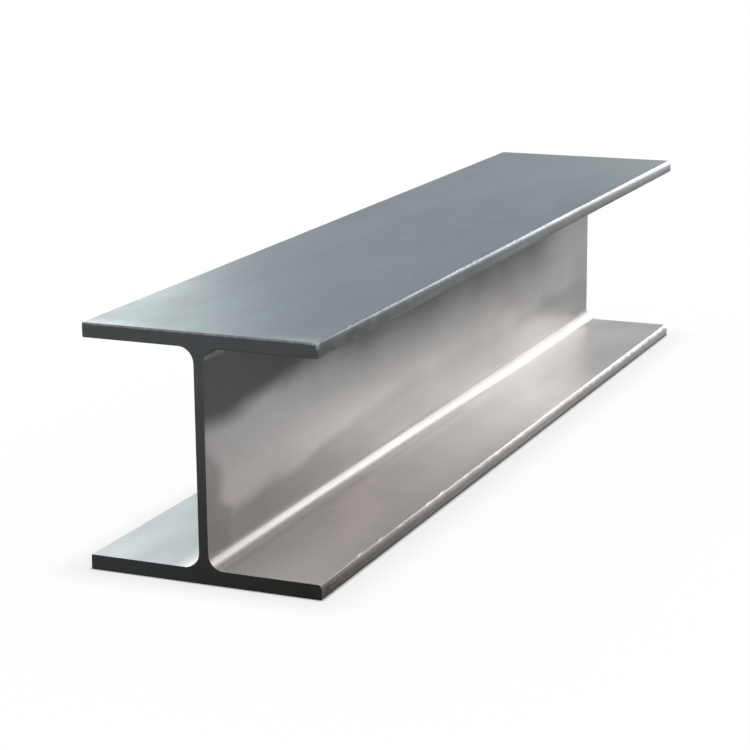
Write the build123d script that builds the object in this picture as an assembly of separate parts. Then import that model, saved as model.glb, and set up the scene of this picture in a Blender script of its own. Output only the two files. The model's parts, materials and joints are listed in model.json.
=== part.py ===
from build123d import *
import os

# A short length of hot-rolled wide-flange steel beam, lying on its bottom flange.
# It is one piece: two parallel flanges and a web, rolled together, then sawn to
# length and deburred. X runs across the flanges, Y along the beam and Z up, and
# the origin is under the middle of the bottom flange. All sizes are millimetres.

# The rolled section
SECTION_HEIGHT = 200.0
FLANGE_WIDTH = 200.0
FLANGE_THICKNESS = 12.0
WEB_THICKNESS = 8.0
ROOT_RADIUS = 13.0
TOE_RADIUS = 1.0

# The cut to length
CUT_LENGTH = 950.0
END_CHAMFER = 0.5


def distance_from_web_middle(corner):
    """How far a corner of the section lies from the web's middle plane."""
    return abs(corner.X)


def rolled_section():
    """The I-shaped section, standing on the sketch's X axis, with its rolled corners."""
    foot = (Align.CENTER, Align.MIN)
    bottom_flange = Rectangle(FLANGE_WIDTH, FLANGE_THICKNESS, align=foot)
    top_flange = Pos(0, SECTION_HEIGHT - FLANGE_THICKNESS) * bottom_flange
    web = Rectangle(WEB_THICKNESS, SECTION_HEIGHT, align=foot)
    section = bottom_flange + web + top_flange

    # The corners nearest the web are the four roots, and the farthest are the flange toes.
    roots = section.vertices().group_by(distance_from_web_middle)[0]
    section = fillet(roots, ROOT_RADIUS)
    toes = section.vertices().group_by(distance_from_web_middle)[-1]
    return fillet(toes, TOE_RADIUS)


def sawn_beam():
    """The section run along Y to the cut length, with the edges of both sawn ends broken."""
    beam = extrude(Plane.XZ * rolled_section(), amount=CUT_LENGTH / 2, both=True)
    sawn_ends = beam.faces().filter_by(Axis.Y)
    return chamfer(sawn_ends.edges(), END_CHAMFER)


os.makedirs("parts", exist_ok=True)
export_step(sawn_beam(), "parts/i_beam.step")
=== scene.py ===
import json
import math
from collections import namedtuple

import bpy
from mathutils import Matrix, Vector, noise


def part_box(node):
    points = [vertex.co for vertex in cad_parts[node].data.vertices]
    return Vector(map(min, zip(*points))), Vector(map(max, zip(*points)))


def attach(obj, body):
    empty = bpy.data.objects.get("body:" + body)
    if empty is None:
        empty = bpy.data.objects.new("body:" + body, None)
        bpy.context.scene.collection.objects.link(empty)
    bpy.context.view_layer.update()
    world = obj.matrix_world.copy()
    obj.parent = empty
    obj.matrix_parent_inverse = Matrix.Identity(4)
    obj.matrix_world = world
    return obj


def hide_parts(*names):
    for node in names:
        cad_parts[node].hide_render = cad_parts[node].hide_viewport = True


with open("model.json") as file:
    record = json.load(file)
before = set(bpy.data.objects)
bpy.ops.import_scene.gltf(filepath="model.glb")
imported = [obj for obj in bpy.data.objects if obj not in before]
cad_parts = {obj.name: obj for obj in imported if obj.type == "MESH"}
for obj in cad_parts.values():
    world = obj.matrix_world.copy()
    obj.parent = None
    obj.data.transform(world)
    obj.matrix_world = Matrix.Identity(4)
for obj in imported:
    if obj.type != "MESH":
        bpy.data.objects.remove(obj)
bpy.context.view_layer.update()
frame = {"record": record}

# The rolled bar
# One length of hot-rolled wide-flange steel: the mill rolls both flanges and the web as one bar,
# with a round root where they meet and rounded toes along the flange edges, and a saw cuts it square.
MM = 0.001
ROOT_RADIUS = 13.0 * MM
TOE_RADIUS = 1.0 * MM
SHARPEST_ARC = 0.1 * MM
END_BREAK = 0.5 * MM
END_RIM = 1.4 * MM

# How finely the mesh follows the arcs, the flats between them and the length.
ROOT_STEPS = 12
TOE_STEPS = 6
FLAT_STEP = 12.0 * MM
TOE_FLAT_STEP = 1.2 * MM
FLAT_SUPPORT = 1.2 * MM
STATION_STEP = 3.0 * MM

bar_low, bar_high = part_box("i_beam")
mount_places = {mount["name"]: mount["pos_m"] for mount in frame["record"]["mounts"]}
half_width = bar_high.x
section_height = bar_high.z
flange_thickness = mount_places["lower_ledge_right"][2]
soffit_height = section_height - flange_thickness
half_web = mount_places["web_face_right"][0]


def on_top_flange(height):
    """Whether a height belongs to the top flange, and not to the bottom one."""
    return height > section_height / 2


def flange_level(height):
    """Where a height lies in its flange: -1 at the underside, 1 on top."""
    half_flange = flange_thickness / 2
    middle = section_height - half_flange if on_top_flange(height) else half_flange
    return (height - middle) / half_flange


def section_corners():
    """The corners of the I, anticlockwise seen from the near end: place, radius and the face after it."""
    right_side = [
        (half_width, 0.0, TOE_RADIUS, "toe"),
        (half_width, flange_thickness, TOE_RADIUS, "channel"),
        (half_web, flange_thickness, ROOT_RADIUS, "channel"),
        (half_web, soffit_height, ROOT_RADIUS, "channel"),
        (half_width, soffit_height, TOE_RADIUS, "toe"),
        (half_width, section_height, TOE_RADIUS, "outer"),
    ]
    # The left side is the right one turned half a turn about the middle of the web.
    left_side = [(-x, section_height - z, radius, face) for x, z, radius, face in right_side]
    return right_side + left_side


def set_back(x, radius, drawn_in):
    """How far from a corner its arc begins. A toe drawn in past its radius keeps the sharpest arc."""
    return radius if abs(x) < half_width else max(radius, drawn_in + SHARPEST_ARC)


def corner_arc(place, arriving, leaving, gap, drawn_in, face):
    """The points round one corner. The second half of a toe's arc belongs to the face that follows."""
    hollow = arriving.cross(leaving) < 0
    centre = place + (leaving - arriving) * gap
    bend = -gap - drawn_in if hollow else gap - drawn_in
    first_normal = Vector((arriving.y, -arriving.x))
    last_normal = Vector((leaving.y, -leaving.x))
    steps = ROOT_STEPS if hollow else TOE_STEPS
    arc_face = "channel" if hollow else "toe"
    points = []
    for step in range(steps + 1):
        turn = step / steps * math.pi / 2
        normal = first_normal * math.cos(turn) + last_normal * math.sin(turn)
        crown = math.sin(2 * turn) * (-1 if hollow else 1)
        points.append((centre + normal * bend, normal, face if 2 * step > steps else arc_face, crown))
    return points


def section_outline(drawn_in):
    """Points round the section, drawn in by that much: place, outward normal, face that follows, crown.

    The crown says how near a point is to the middle of its arc: above 0 on a toe, and below 0 in a root.
    """
    corners = section_corners()
    outline = []
    for index, (x, z, radius, face) in enumerate(corners):
        next_x, next_z, next_radius, _ = corners[(index + 1) % len(corners)]
        place, after = Vector((x, z)), Vector((next_x, next_z))
        arriving = (place - Vector(corners[index - 1][:2])).normalized()
        leaving = (after - place).normalized()
        gap, next_gap = set_back(x, radius, drawn_in), set_back(next_x, next_radius, drawn_in)
        outline += corner_arc(place, arriving, leaving, gap, drawn_in, face)

        # The flat that follows has a point close to each end, so that the arcs stay crisp, and even steps.
        whole = (after - place).length
        undrawn_run = whole - radius - next_radius - 2 * FLAT_SUPPORT
        spans = max(1, round(undrawn_run / (TOE_FLAT_STEP if face == "toe" else FLAT_STEP)))
        outward = Vector((leaving.y, -leaving.x))
        start = place + leaving * (gap + FLAT_SUPPORT) - outward * drawn_in
        run = whole - gap - next_gap - 2 * FLAT_SUPPORT
        for span in range(spans + 1):
            outline.append((start + leaving * run * span / spans, outward, face, 0.0))
    return outline


def stations():
    """Places along the bar, with how far the section is drawn in there by the cut and its broken edge."""
    near, far = bar_low.y, bar_high.y
    length = far - near - 2 * END_BREAK
    spans = round(length / STATION_STEP)
    along = [near + END_BREAK + length * span / spans for span in range(spans + 1)]
    near_cut = [(near, END_BREAK + END_RIM), (near, END_BREAK)]
    far_cut = [(far, END_BREAK), (far, END_BREAK + END_RIM)]
    return near_cut + [(y, 0.0) for y in along] + far_cut


# The rolls round off the upper edges of the right toes, more so towards the far end, and leave the left
# ones sharp. The top flange's rounding keeps closer to its edge towards the near end.
TOE_REACH = 9.0 * MM
UPPER_CROWN, UPPER_CROWN_GAIN = 0.1 * MM, 1.95 * MM
LOWER_CROWN, LOWER_CROWN_GAIN = 1.5 * MM, 0.7 * MM
LEFT_CROWN = 0.2 * MM
CROWN_GROWTH = 0.38
CROWN_CURVE, CROWN_TIGHTENING = 1.8, 2.2


def clamp(share):
    """The share held between 0 and 1."""
    return max(0.0, min(1.0, share))


def near_share(y):
    """How near the camera's end a place along the bar is: 1 at the near cut, 0 at the far one."""
    return clamp((bar_high.y - y) / (bar_high.y - bar_low.y))


def crown_height(point, y):
    """How far the upper edge of this toe stands in from the toe's face."""
    if point.x < 0:
        return LEFT_CROWN
    far_share = (1 - near_share(y)) ** CROWN_GROWTH
    if on_top_flange(point.y):
        return UPPER_CROWN + UPPER_CROWN_GAIN * far_share
    return LOWER_CROWN + LOWER_CROWN_GAIN * far_share


# No toe is quite straight: each drifts slowly along its length, with a finer unevenness of its own.
TOE_DRIFT = 0.25 * MM
TOE_DRIFT_PERIOD = 42.0 * MM
FINER_DRIFT = 3
DRIFT_MEAN, DRIFT_SHARE, FINER_SHARE = 0.5, 0.7, 0.3
UPPER_SEED, LOWER_SEED = 5.0, 1.0
RIGHT_SEED, LEFT_SEED, FINER_SEED = 11.0, 2.0, 30


def toe_drift(point, y):
    """How far the toe stands in from its straight line here, fading out towards the web."""
    upper = on_top_flange(point.y)
    flange_seed = UPPER_SEED if upper else LOWER_SEED
    side_seed = RIGHT_SEED if point.x > 0 else LEFT_SEED
    travel = y / TOE_DRIFT_PERIOD
    drift = noise.noise(Vector((travel, flange_seed, side_seed)))
    finer = noise.noise(Vector((travel * FINER_DRIFT, flange_seed, side_seed + FINER_SEED)))
    uneven = max(0.0, DRIFT_MEAN + DRIFT_SHARE * drift + FINER_SHARE * finer)
    curve = CROWN_CURVE + CROWN_TIGHTENING * near_share(y) if upper else CROWN_CURVE
    rounded = crown_height(point, y) * max(0.0, flange_level(point.y)) ** curve
    share = clamp(1 - (half_width - abs(point.x)) / TOE_REACH)
    return share * (rounded + TOE_DRIFT * uneven)


# Handling leaves small knocks along the edges, and a chip off the near end's upper right corner.
# EDGES_APART keeps the knocks on one edge from lining up with those on another.
KNOCK_PERIOD = 15.0 * MM
KNOCK_START = 0.34
KNOCK_DEPTH, KNOCK_DEEPEST = 1.5 * MM, 0.7 * MM
EDGES_APART = (70, 400)
CHIP_REACH = 6.0 * MM
CHIP_DEPTH = 0.7 * MM
chipped_corner = Vector((half_width, bar_low.y, section_height))
chip_way = Vector((-0.7, -0.7))


def knock_depth(point, y, crown):
    """How deep the edge is knocked in here: nothing along most of it, and a short flat in a few places."""
    edge = Vector((y / KNOCK_PERIOD, point.x * EDGES_APART[0], point.y * EDGES_APART[1]))
    strike = max(0.0, noise.noise(edge) - KNOCK_START)
    return max(0.0, crown) * min(KNOCK_DEEPEST, KNOCK_DEPTH * strike)


def chip_share(point, y):
    """How much of the chip off the corner is taken here."""
    away = (Vector((point.x, y, point.y)) - chipped_corner).length
    return max(0.0, 1 - away / CHIP_REACH)


# The toes are darkened: near the cut with dirt and painted shade, and along their lower edges, which face
# down, with painted shade. The left ones are darkened along their upper edges too.
UPPER_SOIL_AND_SHADE, UPPER_SOIL_FADE, UPPER_CLEAN_TOP = 0.95, 0.75, 0.3
UPPER_EDGE_SHADE, UPPER_EDGE_FADE = 0.9, 0.5
LOWER_SOIL_AND_SHADE, LOWER_SOIL_FADE, LOWER_CLEAN_TOP = 0.88, 2.2, 0.5
CORNER_SOIL_AND_SHADE, CORNER_REACH = 0.2, 0.12
LOWER_EDGE_SHADE, LOWER_EDGE_FADE, LOWER_EDGE_FAR_SHARE = 2.2, 3, 0.75


def soil_and_shade_share(place, crown, nearness):
    """How dark a toe is painted here, with dirt near the cut and with painted shade."""
    if abs(place.x) < half_width - TOE_REACH:
        return 0.0
    level = flange_level(place.y)
    above, below = max(0.0, level), max(0.0, -level)
    left_edge = max(0.0, crown) if place.x < 0 else 0.0
    # Near the cut this is dirt and painted shade; along the lower edges, which face down, it is painted
    # shade.
    if on_top_flange(place.y):
        from_cut = UPPER_SOIL_AND_SHADE * nearness ** UPPER_SOIL_FADE * (1 - UPPER_CLEAN_TOP * above)
        lower_edge = UPPER_EDGE_SHADE * below ** UPPER_EDGE_FADE
    else:
        corner = CORNER_SOIL_AND_SHADE * max(0.0, 1 - (1 - nearness) / CORNER_REACH)
        from_cut = (LOWER_SOIL_AND_SHADE * nearness ** LOWER_SOIL_FADE + corner) * (1 - LOWER_CLEAN_TOP * above)
        along = LOWER_EDGE_FAR_SHARE + (1 - LOWER_EDGE_FAR_SHARE) * nearness
        lower_edge = LOWER_EDGE_SHADE * below ** LOWER_EDGE_FADE * along
    return min(1.0, max(from_cut, lower_edge, left_edge))


# The right toes carry a painted highlight, with some rubbing: the top one along its upper edge, and the
# bottom one a little lower down. The knocks that face up and the chip are worn bright, and the upper edge of
# the cut is worn bright, with a painted highlight on the top flange where it faces up.
UPPER_HIGHLIGHT, UPPER_HIGHLIGHT_FOOT = 0.8, 0.45
LOWER_HIGHLIGHT, LOWER_HIGHLIGHT_FADE = 0.95, 1.2
LOWER_HIGHLIGHT_LEVEL, LOWER_HIGHLIGHT_SPREAD = 0.6, 0.3
KNOCK_RUB, CUT_RUB_AND_HIGHLIGHT = 0.6, 0.7


def edge_rub_and_highlight(place, nearness):
    """How much painted highlight, with some rubbing, a right toe carries here."""
    if place.x < half_width - TOE_REACH:
        return 0.0
    level = flange_level(place.y)
    if on_top_flange(place.y):
        above_foot = (level - UPPER_HIGHLIGHT_FOOT) / (1 - UPPER_HIGHLIGHT_FOOT)
        return UPPER_HIGHLIGHT * max(0.0, above_foot) * math.sqrt(nearness * (1 - nearness))
    off_middle = (level - LOWER_HIGHLIGHT_LEVEL) / LOWER_HIGHLIGHT_SPREAD
    return LOWER_HIGHLIGHT * max(0.0, 1 - off_middle ** 2) * (1 - nearness) ** LOWER_HIGHLIGHT_FADE


rings = stations()
outlines = {drawn_in: section_outline(drawn_in) for _, drawn_in in rings}
outline = outlines[0.0]
vertices = []
rubbed = []
soiled = []
for y, drawn_in in rings:
    nearness = near_share(y)
    for (place, normal, _, crown), (drawn_place, *_) in zip(outline, outlines[drawn_in]):
        knock = knock_depth(place, y, crown)
        chip = chip_share(place, y)
        inward = Vector((-math.copysign(1, place.x), 0))
        shifted = inward * toe_drift(place, y) + chip_way * CHIP_DEPTH * chip
        point = drawn_place - normal * knock + shifted
        vertices.append((point.x, y, point.y))

        upward = max(0.0, normal.y)
        # Paler: the painted highlight on the right toes, the worn knocks that face up, and the chip.
        rub_and_highlight = edge_rub_and_highlight(place, nearness) + KNOCK_RUB * knock / KNOCK_DEEPEST * upward + chip
        # The cut's rim on the top flange is paler where it faces up: a painted highlight.
        if drawn_in == END_BREAK:
            rub_and_highlight = max(CUT_RUB_AND_HIGHLIGHT * upward, chip) if on_top_flange(place.y) else 0.0
        elif drawn_in > END_BREAK:
            rub_and_highlight = 0.0
        rubbed.append(min(1.0, rub_and_highlight))
        soiled.append(soil_and_shade_share(place, crown, nearness) * (1 - chip))

FACES = ("outer", "right_channel", "left_channel", "toe", "end")
ring_size = len(outline)
polygons = []
polygon_faces = []
for ring in range(len(rings) - 1):
    on_cut = max(rings[ring][1], rings[ring + 1][1]) > 0
    this_ring, next_ring = ring * ring_size, (ring + 1) * ring_size
    for index in range(ring_size):
        after = (index + 1) % ring_size
        polygons.append((this_ring + index, this_ring + after, next_ring + after, next_ring + index))
        face = "end" if on_cut else outline[index][2]
        if face == "channel":
            face = "right_channel" if outline[index][0].x > 0 else "left_channel"
        polygon_faces.append(FACES.index(face))
last_ring = (len(rings) - 1) * ring_size
polygons.append(tuple(reversed(range(ring_size))))
polygons.append(tuple(range(last_ring, last_ring + ring_size)))
polygon_faces += [FACES.index("end")] * 2

SHARP_BEND = math.radians(30)
bar_mesh = bpy.data.meshes.new("rolled_bar")
bar_mesh.from_pydata(vertices, [], polygons)
bar_mesh.attributes.new("rubbed", "FLOAT", "POINT").data.foreach_set("value", rubbed)
bar_mesh.attributes.new("soiled", "FLOAT", "POINT").data.foreach_set("value", soiled)
bar_mesh.polygons.foreach_set("material_index", polygon_faces)
bar_mesh.polygons.foreach_set("use_smooth", [True] * len(polygons))
bar_mesh.validate()
bar_mesh.update()
bar_mesh.set_sharp_from_angle(angle=SHARP_BEND)
rolled_bar = bpy.data.objects.new("rolled_bar", bar_mesh)
bpy.context.scene.collection.objects.link(rolled_bar)
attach(rolled_bar, "root")
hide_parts("i_beam")

# The rolled skin
# Bare steel as it leaves the mill, cleaned bright: smooth and half glossy, with faint streaks drawn out
# along the rolling, slow clouds of tone and small specks.


def add_node(tree, kind, **inputs):
    """A shader node of that kind, with each named input set to a value or linked to another's output."""
    node = tree.nodes.new("ShaderNode" + kind)
    for name, value in inputs.items():
        feed(tree, node.inputs[name.replace("_", " ")], value)
    return node


def feed(tree, socket, value):
    """Links the socket if the value is another node's output, and sets it otherwise."""
    if isinstance(value, bpy.types.NodeSocket):
        tree.links.new(value, socket)
    else:
        socket.default_value = value


def calculate(tree, operation, *values):
    """A Math node's result."""
    node = tree.nodes.new("ShaderNodeMath")
    node.operation = operation
    for socket, value in zip(node.inputs, values):
        feed(tree, socket, value)
    return node.outputs[0]


def product(tree, first, *others):
    """All the values multiplied together."""
    for other in others:
        first = calculate(tree, "MULTIPLY", first, other)
    return first


def total(tree, first, *others):
    """All the values added up."""
    for other in others:
        first = calculate(tree, "ADD", first, other)
    return first


def ramp(tree, value, start, end, low=0.0, high=1.0):
    """The value carried smoothly from start..end to low..high, and held beyond."""
    node = add_node(tree, "MapRange", Value=value, From_Min=start, From_Max=end, To_Min=low, To_Max=high)
    node.interpolation_type = "SMOOTHSTEP"
    return node.outputs["Result"]


def pattern(tree, vector, scale, detail, roughness=0.5):
    """A soft noise over the surface, about a half on average."""
    node = add_node(tree, "TexNoise", Vector=vector, Scale=scale, Detail=detail, Roughness=roughness)
    return node.outputs["Fac"]


def stretch(tree, vector, scale):
    """The vector scaled along each axis. A pattern on it is drawn out along an axis whose scale is small."""
    return add_node(tree, "Mapping", Vector=vector, Scale=scale).outputs["Vector"]


def mix_colours(tree, share, first, second):
    """The first colour turning into the second as the share goes from 0 to 1."""
    node = tree.nodes.new("ShaderNodeMix")
    node.data_type = "RGBA"
    feed(tree, node.inputs[0], share)
    feed(tree, node.inputs[6], first if isinstance(first, bpy.types.NodeSocket) else (*first, 1))
    feed(tree, node.inputs[7], second if isinstance(second, bpy.types.NodeSocket) else (*second, 1))
    return node.outputs[2]


def new_group(name, inputs, outputs):
    """An empty node group with these value sockets; returns it, its input node and its output node."""
    group = bpy.data.node_groups.new(name, "ShaderNodeTree")
    for socket in inputs:
        group.interface.new_socket(socket, in_out="INPUT", socket_type="NodeSocketFloat")
    for socket in outputs:
        group.interface.new_socket(socket, in_out="OUTPUT", socket_type="NodeSocketFloat")
    return group, group.nodes.new("NodeGroupInput"), group.nodes.new("NodeGroupOutput")


# Each pattern has its patches to the metre, its octaves of detail and, where it isn't a half, its roughness.
FINE_STREAK, BROAD_STREAK, STREAK_STRETCH = (260.0, 3.0), (48.0, 2.0), (1.0, 0.02, 1.0)
CLOUD, CLOUD_STRETCH = (16.0, 6.0, 0.66), (1.0, 0.35, 1.0)
GRAIN = (820.0, 3.0, 0.6)
SPECK_CELLS, SPECK_EDGE = 120.0, (0.05, 0.12, 1.0, 0.0)
PATTERN_MEAN = 0.5
STREAK_RELIEF, GRAIN_RELIEF, SPECK_RELIEF = 0.5, 0.1, 0.6


def rolling_marks_group():
    """What rolling leaves on every face: streaks and clouds (Tone), specks, and the fine relief (Height)."""
    inputs, outputs = ("Streaks", "Clouds", "Specks"), ("Tone", "Specks", "Height")
    group, given, result = new_group("rolling_marks", inputs, outputs)
    place = add_node(group, "TexCoord").outputs["Object"]
    drawn_out = stretch(group, place, STREAK_STRETCH)
    fine_streak = pattern(group, drawn_out, *FINE_STREAK)
    broad_streak = pattern(group, drawn_out, *BROAD_STREAK)
    cloud = pattern(group, stretch(group, place, CLOUD_STRETCH), *CLOUD)
    grain = pattern(group, place, *GRAIN)

    streak = calculate(group, "SUBTRACT", total(group, fine_streak, broad_streak), 2 * PATTERN_MEAN)
    cloudy = calculate(group, "SUBTRACT", cloud, PATTERN_MEAN)
    tone = total(group, product(group, streak, given.outputs["Streaks"]),
                 product(group, cloudy, given.outputs["Clouds"]), PATTERN_MEAN)
    group.links.new(tone, result.inputs["Tone"])

    # A speck sits in a few of the cells only, and is about a millimetre across.
    cells = add_node(group, "TexVoronoi", Vector=place, Scale=SPECK_CELLS)
    chosen = add_node(group, "SeparateColor", Color=cells.outputs["Color"]).outputs["Red"]
    kept = calculate(group, "LESS_THAN", chosen, given.outputs["Specks"])
    speck = product(group, ramp(group, cells.outputs["Distance"], *SPECK_EDGE), kept)
    group.links.new(speck, result.inputs["Specks"])

    raised = total(group, product(group, fine_streak, STREAK_RELIEF), product(group, grain, GRAIN_RELIEF))
    relief = calculate(group, "SUBTRACT", raised, product(group, speck, SPECK_RELIEF))
    group.links.new(relief, result.inputs["Height"])
    return group


rolling_marks = rolling_marks_group()


def place_group(tree, group, **inputs):
    """The group put into a material with its own values."""
    node = tree.nodes.new("ShaderNodeGroup")
    node.node_tree = group
    for name, value in inputs.items():
        feed(tree, node.inputs[name], value)
    return node


def bare_metal(name):
    """A metal's material with its shader; returns the material, its node tree and the shader."""
    material = bpy.data.materials.new(name)
    material.use_nodes = True
    tree = material.node_tree
    shader = tree.nodes["Principled BSDF"]
    shader.inputs["Metallic"].default_value = 1.0
    return material, tree, shader


def set_relief(tree, shader, height, depth):
    """Feeds the height to the shader's normal as a bump of that depth in metres."""
    bump = add_node(tree, "Bump", Height=height, Distance=depth, Strength=1.0)
    tree.links.new(bump.outputs["Normal"], shader.inputs["Normal"])


Spot = namedtuple("Spot", "place across along up aside")


def spot_on_bar(tree):
    """Where a point of the surface is: its place, the three parts of it, and how far aside of the web."""
    place = add_node(tree, "TexCoord").outputs["Object"]
    axes = add_node(tree, "SeparateXYZ", Vector=place)
    across = axes.outputs["X"]
    return Spot(place, across, axes.outputs["Y"], axes.outputs["Z"], calculate(tree, "ABSOLUTE", across))


# A name that ends in ALONG, ACROSS, ASIDE or UP says where a mark comes or goes: from and to, in metres from
# the bar's middle or up from the floor, then its value before and after, where those aren't 0 and 1.

# The outer faces of the flanges: a cool blue-grey skin, drawn smooth by the rolls, with painted light that
# makes it paler towards the far end, and a painted highlight at the corners by the near cut.
OUTER_MARKS = {"Streaks": 0.13, "Clouds": 0.8, "Specks": 0.10}
OUTER_DARK, OUTER_PALE = (0.164, 0.191, 0.209), (0.262, 0.301, 0.327)
OUTER_GRAZING = (0.61, 0.66, 0.69)
OUTER_SPECK, OUTER_SPECK_SHARE = (0.09, 0.09, 0.09), 0.5
OUTER_FAR_LIGHT = (0.34, 0.36, 0.363)
FAR_LIGHT_ALONG, FAR_LIGHT_ACROSS = (0.12, 0.46), (-0.08, 0.10, 0.25, 0.7)
OUTER_HIGHLIGHT = (0.60, 0.62, 0.61)
HIGHLIGHT_ALONG = (bar_low.y, bar_low.y + 0.024, 1.0, 0.0)
HIGHLIGHT_LEFT_ACROSS, HIGHLIGHT_RIGHT_ACROSS = (-0.10, -0.01, 0.42, 0.0), (0.03, 0.10, 0.0, 0.36)
OUTER_ROUGHNESS = (0.2, 0.8, 0.38, 0.30)
OUTER_RELIEF = 0.015 * MM


def lay_over(tree, colour, layers):
    """The colour with each layer, a share and a colour of its own, laid over it in turn."""
    for share, layer in layers:
        colour = mix_colours(tree, share, colour, layer)
    return colour


def outer_skin():
    material, tree, shader = bare_metal("outer_skin")
    marks = place_group(tree, rolling_marks, **OUTER_MARKS)
    tone = marks.outputs["Tone"]
    spot = spot_on_bar(tree)
    speck = product(tree, marks.outputs["Specks"], OUTER_SPECK_SHARE)
    # Painted light: paler towards the far end, more so on the right.
    far = product(tree, ramp(tree, spot.along, *FAR_LIGHT_ALONG), ramp(tree, spot.across, *FAR_LIGHT_ACROSS))
    # A painted highlight at the corners by the near cut.
    left_corner = ramp(tree, spot.across, *HIGHLIGHT_LEFT_ACROSS)
    right_corner = ramp(tree, spot.across, *HIGHLIGHT_RIGHT_ACROSS)
    corner_highlight = product(tree, total(tree, left_corner, right_corner), ramp(tree, spot.along, *HIGHLIGHT_ALONG))
    colour = mix_colours(tree, tone, OUTER_DARK, OUTER_PALE)
    colour = lay_over(tree, colour, ((speck, OUTER_SPECK), (far, OUTER_FAR_LIGHT), (corner_highlight, OUTER_HIGHLIGHT)))
    tree.links.new(colour, shader.inputs["Base Color"])
    tree.links.new(ramp(tree, tone, *OUTER_ROUGHNESS), shader.inputs["Roughness"])
    shader.inputs["Specular Tint"].default_value = (*OUTER_GRAZING, 1)
    set_relief(tree, shader, marks.outputs["Height"], OUTER_RELIEF)
    return material


# The faces that look into the channels: a neutral, paler grey on the right and a cooler one on the left.
# Painted shade stands for the top flange's shadow high on the web. Its foot wanders, crisp and high by the
# near cut, and low and soft further along, and it stays on the web: the roots under the top flange and the
# flange itself are clear of it.
WANDER_PATTERN, WANDER_STRETCH = (17.0, 3.0, 0.45), (1.0, 0.45, 1.0)
WANDER = (0.2, 0.8, -7.0 * MM, 7.0 * MM)
SHADOW_CRISP_UP, SHADOW_SOFT_UP = (0.115, 0.139, 0.0, 0.98), (0.072, 0.158, 0.0, 0.97)
SHADOW_SOFTENS_ALONG = (-0.46, -0.04)
SHADOW_NEAR_ALONG, SHADOW_FAR_ALONG = (-0.46, -0.28, 0.9, 1.0), (0.26, 0.43, 1.0, 0.35)
SHADOW_ASIDE, SHADOW_TOP_UP = (0.006, 0.016, 1.0, 0.1), (0.177, 0.182, 1.0, 0.55)


def wandering(tree, spot):
    """The uneven shift of the edges of the marks on the web."""
    drifting = stretch(tree, spot.place, WANDER_STRETCH)
    return ramp(tree, pattern(tree, drifting, *WANDER_PATTERN), *WANDER)


def flange_shadow_on_web(tree, spot, height):
    """How much of the top flange's painted shadow lies here."""
    crisp = ramp(tree, height, *SHADOW_CRISP_UP)
    soft = ramp(tree, height, *SHADOW_SOFT_UP)
    further = ramp(tree, spot.along, *SHADOW_SOFTENS_ALONG)
    # The painted shadow's edge is crisp by the near cut and soft further along.
    scale = add_node(tree, "Mix", Factor=further, A=crisp, B=soft).outputs["Result"]
    ends = product(tree, ramp(tree, spot.along, *SHADOW_FAR_ALONG), ramp(tree, spot.along, *SHADOW_NEAR_ALONG))
    on_web = product(tree, ramp(tree, spot.aside, *SHADOW_ASIDE), ramp(tree, spot.up, *SHADOW_TOP_UP))
    return product(tree, scale, ends, on_web)


# The web carries painted shade along its foot, most of all near the cut, and in a band by the cut that is
# broader low down and narrower high up. Its upper part is cooler. By the far cut it is duller low down, and
# paler high up with painted light where the flange's shadow gives out.
ON_WEB_UP = (flange_thickness + 1.5 * MM, flange_thickness + ROOT_RADIUS)
FOOT_RISE_ALONG = (-0.28, -0.15, 0.0, 0.009)
FOOT_UP, FOOT_ALONG = (0.046, 0.061, 0.75, 0.0), (-0.30, 0.12, 1.0, 0.5)
BAND_NARROWS_UP, BAND_BROADENS_UP = (0.085, 0.118, 0.0, 0.024), (0.045, 0.065, 0.028, 0.0)
BAND_INWARD = (0.012, 0.036, 0.85, 0.0)
HIGH_UP = (0.07, 0.13, 0.0, 0.5)
FAR_WEB_UP, FAR_WEB_ALONG = (0.075, 0.12), (0.26, 0.44, 0.0, 0.5)
OFF_ROOT_UP, OFF_ROOT_ASIDE = (0.028, 0.045), (0.022, 0.035)
FAR_DULL_ALONG, FAR_DULL_UP = (0.40, 0.46, 0.0, 0.2), (0.085, 0.115, 1.0, 0.0)


def web_foot_and_cut_shade(tree, spot, height, wander):
    """How much painted shade lies on the foot of the web and in the band by the near cut here."""
    above_foot = calculate(tree, "SUBTRACT", height, ramp(tree, spot.along, *FOOT_RISE_ALONG))
    foot = product(tree, ramp(tree, above_foot, *FOOT_UP), ramp(tree, spot.along, *FOOT_ALONG))
    inward = total(tree, calculate(tree, "SUBTRACT", spot.along, bar_low.y), wander)
    inward = total(tree, inward, ramp(tree, spot.up, *BAND_NARROWS_UP))
    inward = calculate(tree, "SUBTRACT", inward, ramp(tree, spot.up, *BAND_BROADENS_UP))
    band = ramp(tree, inward, *BAND_INWARD)
    return calculate(tree, "MAXIMUM", foot, band)


def far_web_light(tree, spot):
    """How much painted light lies on the upper web towards the far cut."""
    return product(tree, ramp(tree, spot.up, *FAR_WEB_UP), ramp(tree, spot.along, *FAR_WEB_ALONG))


def dull_far_web(tree, spot):
    """How dull the lower web and the ledge are by the far cut, clear of the root between them."""
    off_root = calculate(tree, "MAXIMUM", ramp(tree, spot.up, *OFF_ROOT_UP),
                         ramp(tree, spot.aside, *OFF_ROOT_ASIDE))
    by_far_cut = product(tree, ramp(tree, spot.along, *FAR_DULL_ALONG), ramp(tree, spot.up, *FAR_DULL_UP))
    return product(tree, off_root, by_far_cut)


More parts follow.
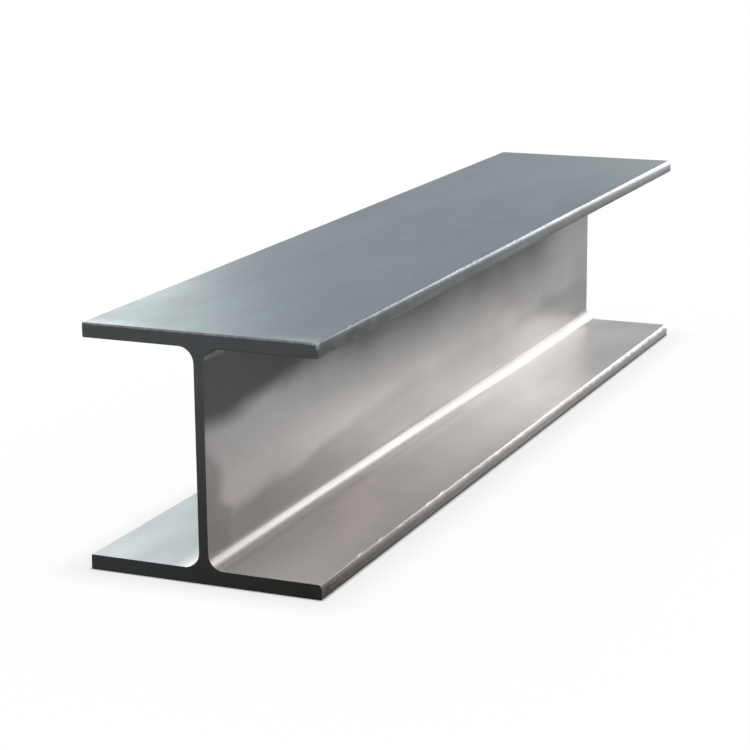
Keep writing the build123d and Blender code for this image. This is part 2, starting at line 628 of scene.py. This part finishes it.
# Each lower root is painted darker along its core, where the lamp's highlight lies, as painted shade that
# softens it. Its foot carries a painted highlight, less so by the near cut and hardly in the far half. Its
# top carries a little painted highlight towards the far end, and so do the web and the ledge beside it.
ROOT_FOOT_RISE_ALONG = (-0.40, -0.15, 0.0, 1.6 * MM)
ROOT_FOOT_ASIDE, ROOT_FOOT_UP = (0.015, 0.032, 1.0, 0.0), (0.0122, 0.0140, 1.0, 0.0)
ROOT_FOOT_NEAR_ALONG, ROOT_FOOT_FAR_ALONG = (-0.28, -0.15, 0.45, 0.85), (-0.08, 0.14, 1.0, 0.1)
ROOT_TOP_FROM_UP, ROOT_TOP_TO_UP = (0.0190, 0.0205), (0.0225, 0.0260, 1.0, 0.0)
ROOT_TOP_ALONG = (-0.05, 0.12, 0.0, 0.12)
BESIDE_ROOT_UP, BESIDE_ROOT_ASIDE = (0.03, 0.06, 1.0, 0.0), (0.03, 0.08, 1.0, 0.0)
BESIDE_ROOT_FROM_ALONG, BESIDE_ROOT_TO_ALONG = (0.16, 0.32, 0.0, 0.15), (0.39, 0.46, 1.0, 0.25)
CORE_BROADENS_DOWN_ALONG = (-0.15, 0.15, 0.0, 2.0 * MM)
CORE_BROADENS_UP_ALONG = (-0.15, 0.15, 0.0, 0.7 * MM)
CORE_FROM_UP, CORE_TO_UP = (0.0140, 0.0160), (0.0168, 0.0195, 1.0, 0.0)
CORE_ALONG = (-0.25, 0.0, 0.75, 0.88)


def root_foot_highlight(tree, spot):
    """How much painted highlight lies on the foot of the root here."""
    above_foot = calculate(tree, "SUBTRACT", spot.up, ramp(tree, spot.along, *ROOT_FOOT_RISE_ALONG))
    foot = product(tree, ramp(tree, spot.aside, *ROOT_FOOT_ASIDE), ramp(tree, above_foot, *ROOT_FOOT_UP))
    near, far = ramp(tree, spot.along, *ROOT_FOOT_NEAR_ALONG), ramp(tree, spot.along, *ROOT_FOOT_FAR_ALONG)
    return product(tree, foot, near, far)


def far_root_highlight(tree, spot):
    """How much painted highlight lies on the top of the root, and on the web and the ledge beside it, here.
    """
    top = product(tree, ramp(tree, spot.up, *ROOT_TOP_FROM_UP), ramp(tree, spot.up, *ROOT_TOP_TO_UP),
                  ramp(tree, spot.along, *ROOT_TOP_ALONG))
    beside = product(tree, ramp(tree, spot.up, *BESIDE_ROOT_UP), ramp(tree, spot.aside, *BESIDE_ROOT_ASIDE),
                     ramp(tree, spot.along, *BESIDE_ROOT_FROM_ALONG),
                     ramp(tree, spot.along, *BESIDE_ROOT_TO_ALONG))
    return total(tree, top, beside)


def root_core_shade(tree, spot):
    """How much painted shade lies in the core of the root here, softening its highlight. It broadens along
    the bar.
    """
    above_foot = total(tree, spot.up, ramp(tree, spot.along, *CORE_BROADENS_DOWN_ALONG))
    below_top = calculate(tree, "SUBTRACT", spot.up, ramp(tree, spot.along, *CORE_BROADENS_UP_ALONG))
    core = product(tree, ramp(tree, above_foot, *CORE_FROM_UP), ramp(tree, below_top, *CORE_TO_UP))
    return product(tree, core, ramp(tree, spot.along, *CORE_ALONG))


# The right ledge is painted paler than the web with painted light, but for its far end. Dust lies on the
# ledges towards the near end, and with it painted light, and a streak of pink rust slants along the right
# one. A little rust bloom is on every face here.
ON_LEDGE_UP = (flange_thickness, flange_thickness + 6.0 * MM, 1.0, 0.0)
LEDGE_LIGHT_ALONG = (0.03, 0.33, 1.0, 0.0)
LEDGE_LIGHT_ASIDE, LEDGE_LIGHT_INNER_SHARE = (0.02, 0.09), 0.6
DUST_AND_LIGHT_ALONG = (-0.35, 0.1, 1.0, 0.0)
DUST_PATTERN, DUST_UNEVEN = (55.0, 5.0, 0.6), (0.3, 0.7, 0.7, 1.1)
STAIN_PLACE = (half_width * 0.51, bar_low.y + 0.185, flange_thickness)
STAIN_REACH, STAIN_TURN = (0.024, 0.110, 0.016), math.radians(21)
STAIN_PATTERN, STAIN_UNEVEN = (40.0, 4.0), (0.3, 0.7, -0.3, 0.3)
STAIN_OUTWARD = (0.3, 1.2, 0.7, 0.0)
BLOOM_PATTERN, BLOOM_SHARE = (7.0, 4.0), (0.58, 0.76, 0.0, 0.35)


def ledge_light(tree, spot, on_ledge, ledge_lighting):
    """How much painted light lies on the ledge here."""
    outward = ramp(tree, spot.aside, *LEDGE_LIGHT_ASIDE, LEDGE_LIGHT_INNER_SHARE * ledge_lighting, ledge_lighting)
    return product(tree, on_ledge, ramp(tree, spot.along, *LEDGE_LIGHT_ALONG), outward)


def ledge_dust_and_light(tree, spot, on_ledge, dust_and_light_share):
    """How much of the dusty layer lies here; with it the ledge is painted paler, as painted light."""
    uneven = ramp(tree, pattern(tree, spot.place, *DUST_PATTERN), *DUST_UNEVEN)
    return product(tree, on_ledge, ramp(tree, spot.along, *DUST_AND_LIGHT_ALONG), dust_and_light_share, uneven)


def vector_step(tree, operation, vector, other=(0, 0, 0)):
    """A Vector Math node's result. Operations on one vector leave the other unused."""
    node = add_node(tree, "VectorMath", Vector=vector)
    node.operation = operation
    node.inputs[1].default_value = other
    return node.outputs["Value" if operation == "LENGTH" else "Vector"]


def rust_stain(tree, spot, on_ledge):
    """How much of the pink stain is here. Its own frame has the stain's edge about 1 from its middle."""
    in_stain = add_node(tree, "Mapping", Vector=spot.place, Location=STAIN_PLACE,
                        Rotation=(0, 0, STAIN_TURN), Scale=STAIN_REACH)
    in_stain.vector_type = "TEXTURE"
    from_middle = vector_step(tree, "LENGTH", in_stain.outputs["Vector"])
    uneven = ramp(tree, pattern(tree, spot.place, *STAIN_PATTERN), *STAIN_UNEVEN)
    return product(tree, ramp(tree, total(tree, from_middle, uneven), *STAIN_OUTWARD), on_ledge)


CHANNEL_MARKS = {"Streaks": 0.12, "Clouds": 1.0, "Specks": 0.22}
CHANNEL_SPECK, CHANNEL_SPECK_SHARE = (0.11, 0.105, 0.10), 0.6
CHANNEL_BRIGHT, CHANNEL_DULL = (0.75, 0.742, 0.735), (0.13, 0.126, 0.124)
CHANNEL_FAR, CHANNEL_HIGH = (0.335, 0.33, 0.345), (0.26, 0.256, 0.272)
# The painted shadow of the top flange: a dark colour that reflects less at a grazing view.
FLANGE_SHADOW_COLOUR, FLANGE_SHADOW_GRAZING = (0.045, 0.044, 0.049), (0.65, 0.65, 0.66)
RUST_BLOOM, RUST_STAIN = (0.32, 0.25, 0.24), (0.64, 0.525, 0.51)
# Paler ledge colours: painted light, and the dusty layer that carries painted light too.
LEDGE_PALE, LEDGE_DUST_AND_LIGHT = (0.60, 0.588, 0.576), (0.47, 0.455, 0.44)
# The soffit is painted pale: painted light that the root below reflects.
SOFFIT, SOFFIT_UP = (0.68, 0.675, 0.67), (soffit_height - 3.0 * MM, soffit_height)
CHANNEL_ROUGHNESS = (0.2, 0.8, 0.33, 0.27)
WEB_ROUGHER, SHADOW_ROUGHER, DUST_ROUGHER = 0.06, 0.08, 0.15
CHANNEL_RELIEF = 0.03 * MM


def channel_skin(name, dark, pale, grazing, dust_and_light_share, ledge_lighting):
    material, tree, shader = bare_metal(name)
    marks = place_group(tree, rolling_marks, **CHANNEL_MARKS)
    tone = marks.outputs["Tone"]
    spot = spot_on_bar(tree)
    wander = wandering(tree, spot)
    height = total(tree, spot.up, wander)
    on_web = ramp(tree, spot.up, *ON_WEB_UP)
    on_ledge = ramp(tree, spot.up, *ON_LEDGE_UP)
    # The share of the top flange's painted shadow on the web.
    scale = flange_shadow_on_web(tree, spot, height)
    dust_and_light = ledge_dust_and_light(tree, spot, on_ledge, dust_and_light_share)
    layers = (
        (ramp(tree, pattern(tree, spot.place, *BLOOM_PATTERN), *BLOOM_SHARE), RUST_BLOOM),
        # Painted shade on the web's foot and by the near cut.
        (product(tree, web_foot_and_cut_shade(tree, spot, height, wander), on_web), CHANNEL_DULL),
        (ramp(tree, spot.up, *HIGH_UP), CHANNEL_HIGH),
        # Painted light on the upper web by the far cut.
        (far_web_light(tree, spot), CHANNEL_FAR),
        (dull_far_web(tree, spot), CHANNEL_DULL),
        # Painted highlight by the far root.
        (far_root_highlight(tree, spot), CHANNEL_BRIGHT),
        # Painted shade in the root's core.
        (root_core_shade(tree, spot), CHANNEL_DULL),
        # Painted light on the soffit.
        (ramp(tree, spot.up, *SOFFIT_UP), SOFFIT),
        # The top flange's painted shadow.
        (scale, FLANGE_SHADOW_COLOUR),
        # Painted light on the ledge.
        (ledge_light(tree, spot, on_ledge, ledge_lighting), LEDGE_PALE),
        # Painted highlight on the root's foot.
        (root_foot_highlight(tree, spot), CHANNEL_BRIGHT),
        # The dusty layer, with painted light.
        (dust_and_light, LEDGE_DUST_AND_LIGHT),
        (rust_stain(tree, spot, on_ledge), RUST_STAIN),
        (product(tree, marks.outputs["Specks"], CHANNEL_SPECK_SHARE), CHANNEL_SPECK),
    )
    colour = lay_over(tree, mix_colours(tree, tone, dark, pale), layers)
    tree.links.new(colour, shader.inputs["Base Color"])
    tree.links.new(calculate(tree, "SUBTRACT", 1.0, dust_and_light), shader.inputs["Metallic"])
    rough = total(tree, ramp(tree, tone, *CHANNEL_ROUGHNESS), product(tree, on_web, WEB_ROUGHER),
                  product(tree, scale, SHADOW_ROUGHER), product(tree, dust_and_light, DUST_ROUGHER))
    tree.links.new(rough, shader.inputs["Roughness"])
    tree.links.new(mix_colours(tree, scale, grazing, FLANGE_SHADOW_GRAZING), shader.inputs["Specular Tint"])
    set_relief(tree, shader, marks.outputs["Height"], CHANNEL_RELIEF)
    return material


# The toes: worn in handling, so the skin is duller, and darkened with dirt and painted shade. The bottom
# ones are a warmer grey, and brighter where they carry the painted highlight and where they are worn.
TOE_MARKS = {"Streaks": 0.5, "Clouds": 1.2, "Specks": 0.25}
TOE_DARK_LOWER, TOE_DARK_UPPER = (0.180, 0.175, 0.171), (0.160, 0.165, 0.171)
TOE_PALE_LOWER, TOE_PALE_UPPER = (0.328, 0.319, 0.313), (0.290, 0.299, 0.308)
TOE_BRIGHT_LOWER, TOE_BRIGHT_UPPER = (0.55, 0.545, 0.54), (0.34, 0.385, 0.42)
TOE_DIRT_AND_SHADE_LOWER, TOE_DIRT_AND_SHADE_UPPER = (0.040, 0.031, 0.025), (0.028, 0.031, 0.036)
SOIL_PATTERN, SOIL_BLOTCHES = (40.0, 4.0, 0.6), (0.3, 0.7, 0.78, 1.0)
RUB_PATTERN, RUB_PATCHES = (90.0, 3.0), (0.3, 0.65)
TOE_ROUGHNESS = (0.2, 0.8, 0.38, 0.28)
SOIL_ROUGHER, LOWER_TOE_ROUGHER = 0.15, (0.0, 1.0, 0.05, 0.0)
TOE_RELIEF = 0.05 * MM


def mesh_share(tree, name):
    """A share that is kept on the mesh's points."""
    node = add_node(tree, "Attribute")
    node.attribute_name = name
    return node.outputs["Fac"]


def toe_skin():
    material, tree, shader = bare_metal("toe_skin")
    marks = place_group(tree, rolling_marks, **TOE_MARKS)
    tone = marks.outputs["Tone"]
    spot = spot_on_bar(tree)
    upper = ramp(tree, spot.up, flange_thickness, soffit_height)
    dark = mix_colours(tree, upper, TOE_DARK_LOWER, TOE_DARK_UPPER)
    pale = mix_colours(tree, upper, TOE_PALE_LOWER, TOE_PALE_UPPER)
    dirt_and_shade = mix_colours(tree, upper, TOE_DIRT_AND_SHADE_LOWER, TOE_DIRT_AND_SHADE_UPPER)
    bright = mix_colours(tree, upper, TOE_BRIGHT_LOWER, TOE_BRIGHT_UPPER)
    blotches = ramp(tree, pattern(tree, spot.place, *SOIL_PATTERN), *SOIL_BLOTCHES)
    # Darker with dirt near the cut and with painted shade, most along the lower edges.
    soil_and_shade = product(tree, mesh_share(tree, "soiled"), blotches)
    patches = ramp(tree, pattern(tree, spot.place, *RUB_PATTERN), *RUB_PATCHES)
    # Paler where the toes carry the painted highlight, and where knocks and the chip are worn.
    rub_and_highlight = product(tree, mesh_share(tree, "rubbed"), patches)
    colour = lay_over(tree, mix_colours(tree, tone, dark, pale), ((soil_and_shade, dirt_and_shade), (rub_and_highlight, bright)))
    tree.links.new(colour, shader.inputs["Base Color"])
    rough = total(tree, ramp(tree, tone, *TOE_ROUGHNESS), product(tree, soil_and_shade, SOIL_ROUGHER),
                  ramp(tree, upper, *LOWER_TOE_ROUGHER))
    tree.links.new(rough, shader.inputs["Roughness"])
    set_relief(tree, shader, marks.outputs["Height"], TOE_RELIEF)
    return material


RIGHT_DARK, RIGHT_PALE, RIGHT_GRAZING = (0.206, 0.201, 0.198), (0.342, 0.335, 0.330), (1.0, 1.0, 1.0)
LEFT_DARK, LEFT_PALE, LEFT_GRAZING = (0.190, 0.216, 0.239), (0.300, 0.338, 0.373), (0.66, 0.70, 0.72)
RIGHT_DUST_AND_LIGHT, LEFT_DUST_AND_LIGHT = 0.5, 0.1
RIGHT_LEDGE_LIGHT, LEFT_LEDGE_LIGHT = 0.9, 0.0
right_skin = channel_skin("right_channel_skin", RIGHT_DARK, RIGHT_PALE, RIGHT_GRAZING,
                          RIGHT_DUST_AND_LIGHT, RIGHT_LEDGE_LIGHT)
left_skin = channel_skin("left_channel_skin", LEFT_DARK, LEFT_PALE, LEFT_GRAZING,
                         LEFT_DUST_AND_LIGHT, LEFT_LEDGE_LIGHT)
for skin in (outer_skin(), right_skin, left_skin, toe_skin()):
    bar_mesh.materials.append(skin)

# The sawn ends
# A cold saw cut them square: bare metal with shallow arcs from the blade and a narrow rim where the burr
# was taken off. The faces are painted dark as painted shade, darker towards the bottom flange and most on
# the right, and the rim is paler on the top flange where it faces up, a painted highlight.
# Painted shade: the ends are dark, darker towards the bottom.
SHADED_END_TOP = (0.064, 0.069, 0.072)
SHADED_END_BOTTOM_LEFT, SHADED_END_BOTTOM_RIGHT = (0.031, 0.033, 0.035), (0.020, 0.0185, 0.0175)
SAWN_MARK, SAWN_BRIGHT = (0.16, 0.17, 0.17), (0.42, 0.44, 0.45)
BLADE_CENTRE, CUT_PLANE = (-0.21, 0.0, 0.42), (1, 0, 1)
TOOTH_PITCH = 1.7 * MM
SHAKE_PATTERN, SHAKE = (60.0, 3.0), 9.0
ARC_SHARE = (-1.0, 1.0, 0.0, 0.05)
RIM_PATTERN, RIM_PATCHES = (120.0, 3.0), (0.35, 0.65, 0.5, 1.0)
SAWN_PATTERN, SAWN_ROUGHNESS = (45.0, 4.0), (0.3, 0.7, 0.36, 0.5)
SAWN_RELIEF = 0.005 * MM


def sawn_end():
    material, tree, shader = bare_metal("sawn_end")
    spot = spot_on_bar(tree)
    across = ramp(tree, spot.across, bar_low.x, bar_high.x)
    bottom = mix_colours(tree, across, SHADED_END_BOTTOM_LEFT, SHADED_END_BOTTOM_RIGHT)
    colour = mix_colours(tree, ramp(tree, spot.up, 0.0, section_height), bottom, SHADED_END_TOP)

    # The blade feeds across from its centre, so its marks are arcs one tooth's feed apart.
    from_centre = vector_step(tree, "SUBTRACT", spot.place, BLADE_CENTRE)
    reach = vector_step(tree, "LENGTH", vector_step(tree, "MULTIPLY", from_centre, CUT_PLANE))
    turns = product(tree, reach, 2 * math.pi / TOOTH_PITCH)
    shake = product(tree, pattern(tree, spot.place, *SHAKE_PATTERN), SHAKE)
    arcs = calculate(tree, "SINE", total(tree, turns, shake))

    patches = ramp(tree, pattern(tree, spot.place, *RIM_PATTERN), *RIM_PATCHES)
    rub_and_highlight = product(tree, mesh_share(tree, "rubbed"), patches)
    colour = lay_over(tree, colour, ((ramp(tree, arcs, *ARC_SHARE), SAWN_MARK), (rub_and_highlight, SAWN_BRIGHT)))
    tree.links.new(colour, shader.inputs["Base Color"])
    rough = ramp(tree, pattern(tree, spot.place, *SAWN_PATTERN), *SAWN_ROUGHNESS)
    tree.links.new(rough, shader.inputs["Roughness"])
    set_relief(tree, shader, arcs, SAWN_RELIEF)
    return material


bar_mesh.materials.append(sawn_end())

# The studio floor
# A plain white sheet under the beam, matt, which keeps the beam's soft shadow and is plain white
# further out.
FLOOR_SIZE = 60.0
FLOOR_GREY, FLOOR_GLOW = (0.8, 0.8, 0.8, 1), (1, 1, 1, 1)
TOUCH_REACH, CONTACT_REACH, SHADOW_REACH = 0.003, 0.045, 0.5
TOUCH_SHARE, CONTACT_SHARE, SHADOW_SHARE = 1.0, 0.25, 0.03


def seen_directly(tree):
    """1 where a camera, mirror or glass ray looks, and 0 for the light that falls on things."""
    path = tree.nodes.new("ShaderNodeLightPath")
    seen = calculate(tree, "MAXIMUM", path.outputs["Is Camera Ray"], path.outputs["Is Glossy Ray"])
    return calculate(tree, "MAXIMUM", seen, path.outputs["Is Transmission Ray"])


def shadow_share(tree):
    """How much of the beam's shadow is kept here: most where it touches, and less further out."""
    place = add_node(tree, "TexCoord").outputs["Object"]
    aside = vector_step(tree, "ABSOLUTE", place)
    past_beam = vector_step(tree, "SUBTRACT", aside, (half_width, bar_high.y, 0.0))
    reach = vector_step(tree, "LENGTH", vector_step(tree, "MAXIMUM", past_beam))
    touch = ramp(tree, reach, 0.0, TOUCH_REACH, TOUCH_SHARE - CONTACT_SHARE, 0.0)
    close = ramp(tree, reach, 0.0, CONTACT_REACH, CONTACT_SHARE - SHADOW_SHARE, 0.0)
    wide = ramp(tree, reach, CONTACT_REACH, SHADOW_REACH, SHADOW_SHARE, 0.0)
    return total(tree, close, wide, touch)


def floor_white():
    material = bpy.data.materials.new("floor_white")
    material.use_nodes = True
    tree = material.node_tree
    tree.nodes.remove(tree.nodes["Principled BSDF"])
    white = calculate(tree, "SUBTRACT", 1.0, shadow_share(tree))
    matt = add_node(tree, "BsdfDiffuse", Color=FLOOR_GREY)
    glow = add_node(tree, "Emission", Color=FLOOR_GLOW, Strength=1.0)
    both = add_node(tree, "MixShader", Fac=product(tree, seen_directly(tree), white))
    tree.links.new(matt.outputs[0], both.inputs[1])
    tree.links.new(glow.outputs[0], both.inputs[2])
    tree.links.new(both.outputs[0], tree.nodes["Material Output"].inputs["Surface"])
    return material


floor_mesh = bpy.data.meshes.new("floor")
corner = FLOOR_SIZE / 2
floor_corners = [(-corner, -corner, 0), (corner, -corner, 0), (corner, corner, 0), (-corner, corner, 0)]
floor_mesh.from_pydata(floor_corners, [], [(0, 1, 2, 3)])
floor_mesh.materials.append(floor_white())
floor = bpy.data.objects.new("floor", floor_mesh)
bpy.context.scene.collection.objects.link(floor)

# The studio light
# A white room, a broad softbox beyond the far end to the right, and a taller, warmer one to the left.
# Things are lit by a little less than the white that shows.
ROOM_WHITE, ROOM_LIGHT = (1, 1, 1, 1), 0.8
LAMP_DISTANCE = 3.0
scene = bpy.context.scene
scene.view_settings.view_transform = "Standard"
world = bpy.data.worlds.new("studio")
scene.world = world
world.use_nodes = True
room = world.node_tree
background = room.nodes["Background"]
background.inputs["Color"].default_value = ROOM_WHITE
room.links.new(ramp(room, seen_directly(room), 0.0, 1.0, ROOM_LIGHT, 1.0), background.inputs["Strength"])


def softbox(name, bearing, elevation, size, power, colour):
    """A rectangular lamp aimed at the beam. Bearing is degrees right of the beam's length."""
    lamp = bpy.data.lights.new(name, "AREA")
    lamp.shape = "RECTANGLE"
    lamp.size, lamp.size_y = size
    lamp.energy = power
    lamp.color = colour
    holder = bpy.data.objects.new(name, lamp)
    scene.collection.objects.link(holder)
    turn, rise = math.radians(bearing), math.radians(elevation)
    away = Vector((math.sin(turn) * math.cos(rise), math.cos(turn) * math.cos(rise), math.sin(rise)))
    holder.location = Vector((0, 0, section_height / 2)) + away * LAMP_DISTANCE
    holder.rotation_mode = "QUATERNION"
    holder.rotation_quaternion = away.to_track_quat("Z", "Y")
    holder.visible_camera = False


softbox("far_right_softbox", bearing=18.0, elevation=16.5,
        size=(2.0, 1.25), power=37.0, colour=(1.0, 0.97, 0.945))
softbox("far_left_softbox", bearing=-43.25, elevation=17.0,
        size=(1.15, 1.5), power=13.5, colour=(1.0, 0.925, 0.82))

# The camera
# It stands at the near right end, a little above the top flange, as the photograph was taken.
CAMERA_AZIMUTH, CAMERA_ELEVATION, CAMERA_ROLL = 23.24, 14.12, -0.53
CAMERA_DISTANCE = 2.104
CAMERA_AIM = Vector((-0.0453, -0.0308, 0.0586))
CAMERA_LENS, CAMERA_SENSOR = 105.8, 36.0
lens = bpy.data.cameras.new("camera")
lens.lens, lens.sensor_width = CAMERA_LENS, CAMERA_SENSOR
camera = bpy.data.objects.new("camera", lens)
scene.collection.objects.link(camera)
azimuth, elevation = math.radians(CAMERA_AZIMUTH), math.radians(CAMERA_ELEVATION)
level_reach = math.cos(elevation)
back = Vector((math.sin(azimuth) * level_reach, -math.cos(azimuth) * level_reach, math.sin(elevation)))
roll = Matrix.Rotation(math.radians(CAMERA_ROLL), 3, "Z").to_quaternion()
camera.rotation_mode = "QUATERNION"
camera.rotation_quaternion = back.to_track_quat("Z", "Y") @ roll
camera.location = CAMERA_AIM + back * CAMERA_DISTANCE
scene.camera = camera
